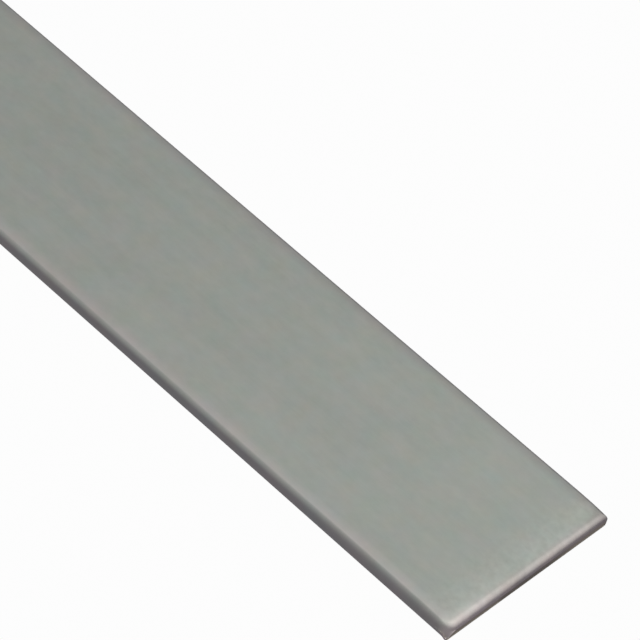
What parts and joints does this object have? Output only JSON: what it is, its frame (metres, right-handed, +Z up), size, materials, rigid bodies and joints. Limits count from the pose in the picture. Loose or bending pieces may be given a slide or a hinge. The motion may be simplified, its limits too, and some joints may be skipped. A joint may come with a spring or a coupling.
{
  "type": "metal flat bar",
  "caption": "Long straight strip of satin grey steel with rounded long edges and square sheared ends, for framing, bracing, brackets and repairs.",
  "frame": {"origin": "centre of the underside, on the surface that the bar lies on", "axes": "+X along the bar's length, +Y across its width, +Z up through its thickness, out of the face that the sheared ends roll over from"},
  "size_m": [0.9144, 0.0382, 0.0032],
  "materials": {
    "bar_steel": "satin, even grey, a little darker on the sheared ends and edges"
  },
  "bodies": {
    "root": {"flat_bar": "bar_steel"}
  },
  "joints": []
}
